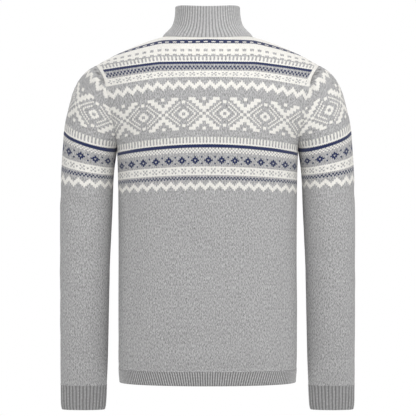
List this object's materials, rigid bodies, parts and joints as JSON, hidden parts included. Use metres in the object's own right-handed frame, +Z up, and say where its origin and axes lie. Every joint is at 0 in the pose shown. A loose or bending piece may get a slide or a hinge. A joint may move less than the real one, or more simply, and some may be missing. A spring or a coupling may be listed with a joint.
{
  "type": "nordic yoke sweater",
  "caption": "Long-sleeved knitted pullover with a ribbed mock neck, set-in sleeves and bands of nordic colourwork over the yoke, filled out as if worn.",
  "frame": {"origin": "centre of the neck's base, midway between the two points where the shoulder seams meet the collar", "axes": "+Z up, the wearer faces +Y, and the wearer's left arm is at -X"},
  "size_m": [0.5912, 0.27, 0.8084],
  "materials": {
    "patterned_knit": "matt heather-grey wool knit with cream and navy colourwork bands",
    "ribbed_knit": "matt heather-grey wool rib"
  },
  "bodies": {
    "root": {"back": "patterned_knit", "front": "patterned_knit", "sleeve_left": "patterned_knit", "sleeve_right": "patterned_knit", "collar": "ribbed_knit", "cuff_left": "ribbed_knit", "cuff_right": "ribbed_knit", "hem_back": "ribbed_knit", "hem_front": "ribbed_knit"}
  },
  "joints": []
}
